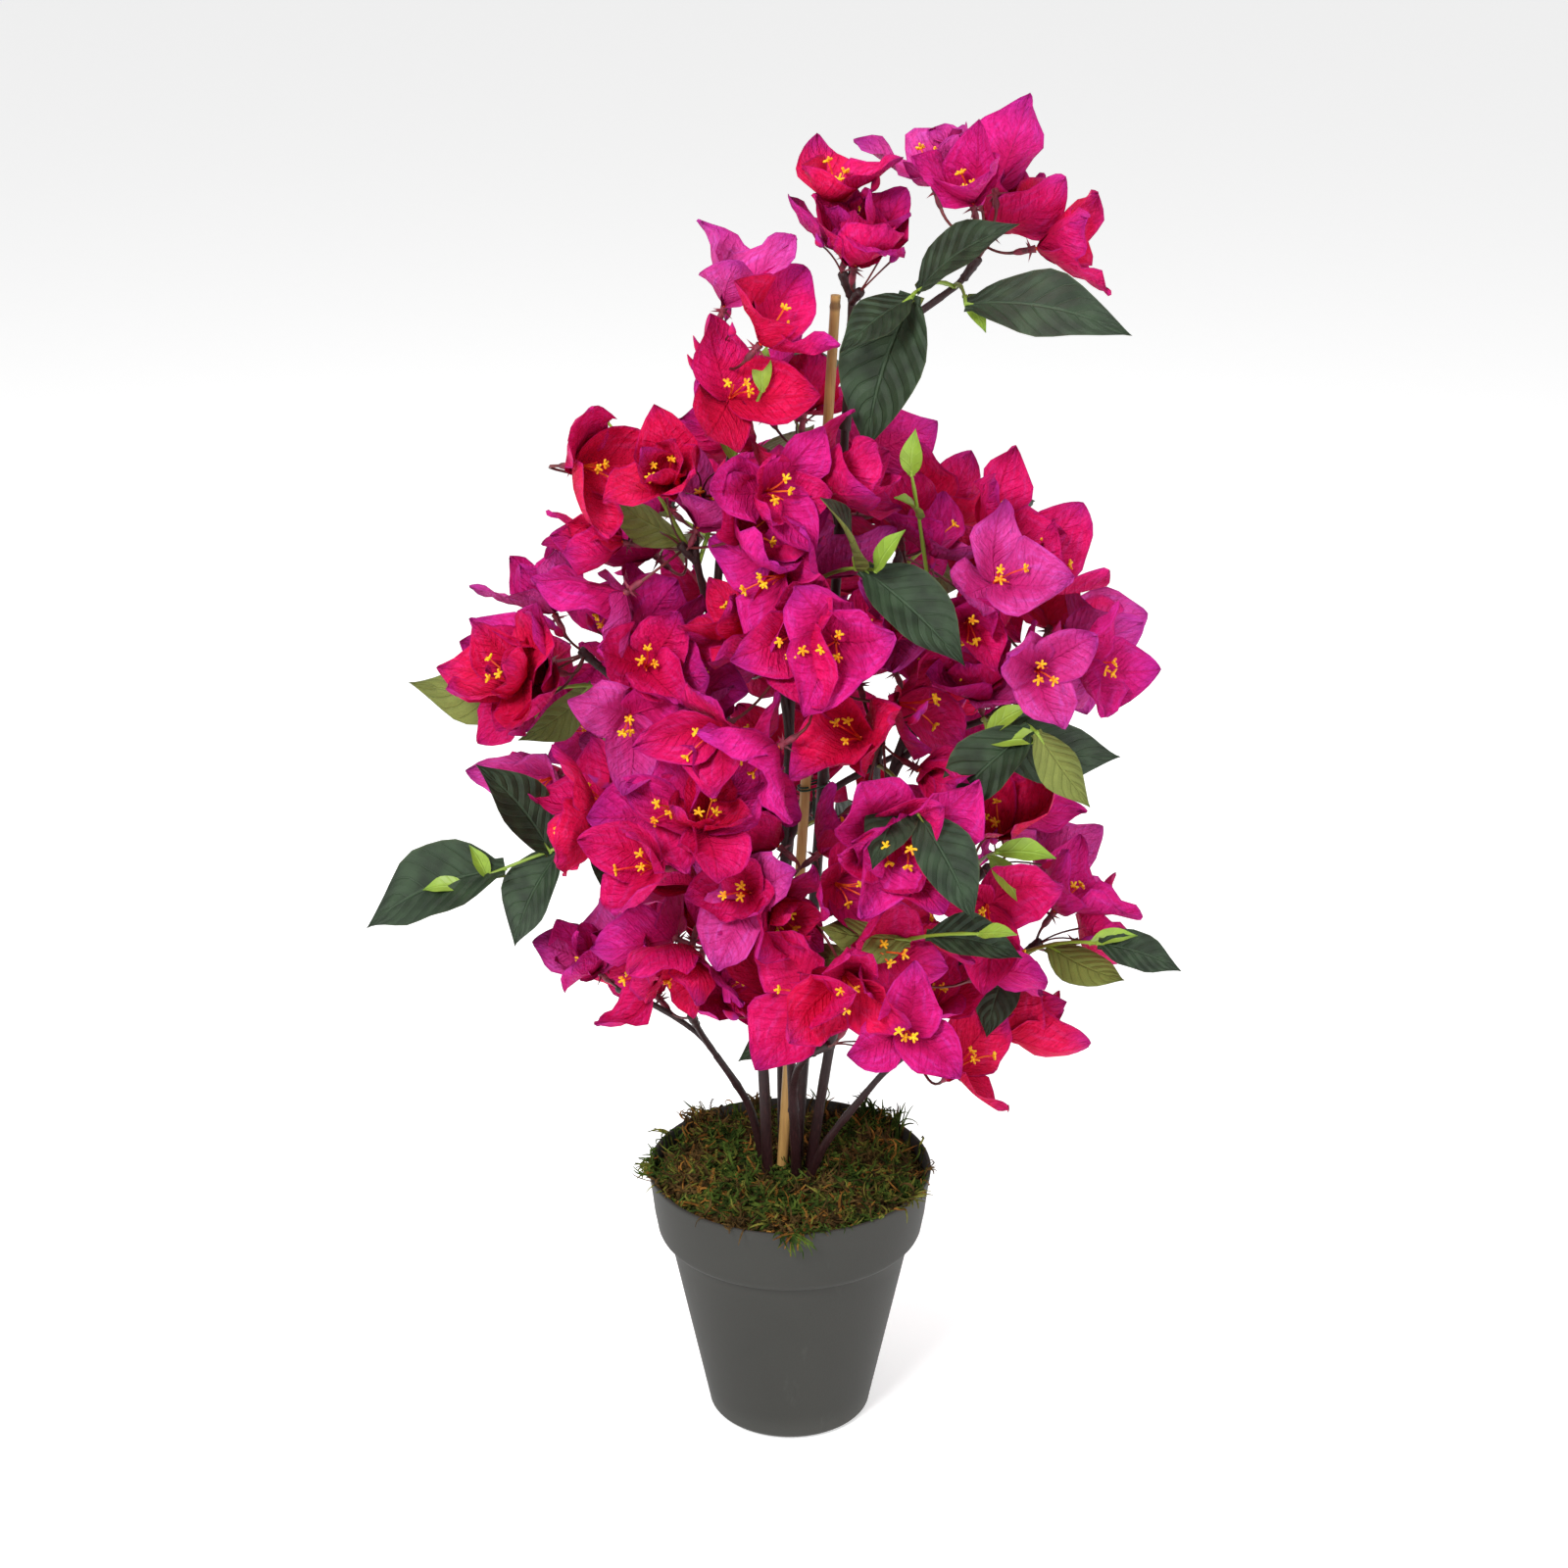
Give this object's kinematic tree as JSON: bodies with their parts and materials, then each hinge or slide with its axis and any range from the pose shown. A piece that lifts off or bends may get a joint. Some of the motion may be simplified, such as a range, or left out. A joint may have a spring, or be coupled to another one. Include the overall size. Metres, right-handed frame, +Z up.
{
  "type": "artificial potted bougainvillea",
  "caption": "Artificial bougainvillea bush in a plastic pot with moss, its stems tied to a bamboo cane and carrying sprays of magenta fabric bracts and green leaves.",
  "frame": {"origin": "centre of the pot's flat underside", "axes": "+Z up along the pot's axis, -Y towards the side that shows the most blossom, +X to the right seen from there"},
  "size_m": [0.4421, 0.3809, 0.7571],
  "materials": {
    "pot_grey": "matt dark grey moulded plastic",
    "moss_green": "dry curly moss, green and brown",
    "cane_tan": "smooth dry bamboo with darker rings",
    "tie_green": "plastic-coated wire",
    "stem_maroon": "semi-gloss dark maroon-brown plastic",
    "bract_magenta": "printed fabric, crimson to magenta, with green leaves"
  },
  "bodies": {
    "root": {"pot": "pot_grey", "moss_bed": "moss_green", "bamboo_cane": "cane_tan", "wire_tie": "tie_green", "trunk": "stem_maroon", "stem_left": "stem_maroon", "stem_right": "stem_maroon", "stem_front": "stem_maroon", "stem_back": "stem_maroon", "stem_low_left": "stem_maroon", "stem_low_right": "stem_maroon", "bough_top_right": "stem_maroon", "bough_upper_left": "stem_maroon", "bough_upper_centre": "stem_maroon", "bough_right": "stem_maroon", "bough_left": "stem_maroon", "bough_centre": "stem_maroon", "bough_centre_right": "stem_maroon", "bough_mid_left": "stem_maroon", "bough_low_front_right": "stem_maroon", "bough_low_right": "stem_maroon", "bough_mid_right": "stem_maroon", "bough_low_middle": "stem_maroon", "bough_back_top": "stem_maroon", "bough_back_upper_left": "stem_maroon", "bough_back_upper_right": "stem_maroon", "bough_back_left": "stem_maroon", "bough_back_right": "stem_maroon", "bough_back_low": "stem_maroon", "bough_back_low_left": "stem_maroon", "bough_back_low_right": "stem_maroon", "top_right": "bract_magenta", "crown_top": "bract_magenta", "top_left": "bract_magenta", "upper_left": "bract_magenta", "upper_centre": "bract_magenta", "upper_right": "bract_magenta", "right": "bract_magenta", "left": "bract_magenta", "centre": "bract_magenta", "centre_right": "bract_magenta", "mid_left": "bract_magenta", "low_front": "bract_magenta", "low_front_right": "bract_magenta", "low_right": "bract_magenta", "mid_right": "bract_magenta", "low_right_front": "bract_magenta", "low_left": "bract_magenta", "low_middle": "bract_magenta", "back_top": "bract_magenta", "back_upper_left": "bract_magenta", "back_upper_right": "bract_magenta", "back_centre": "bract_magenta", "back_left": "bract_magenta", "back_right": "bract_magenta", "back_low": "bract_magenta", "back_low_left": "bract_magenta", "back_low_right": "bract_magenta"}
  },
  "joints": []
}
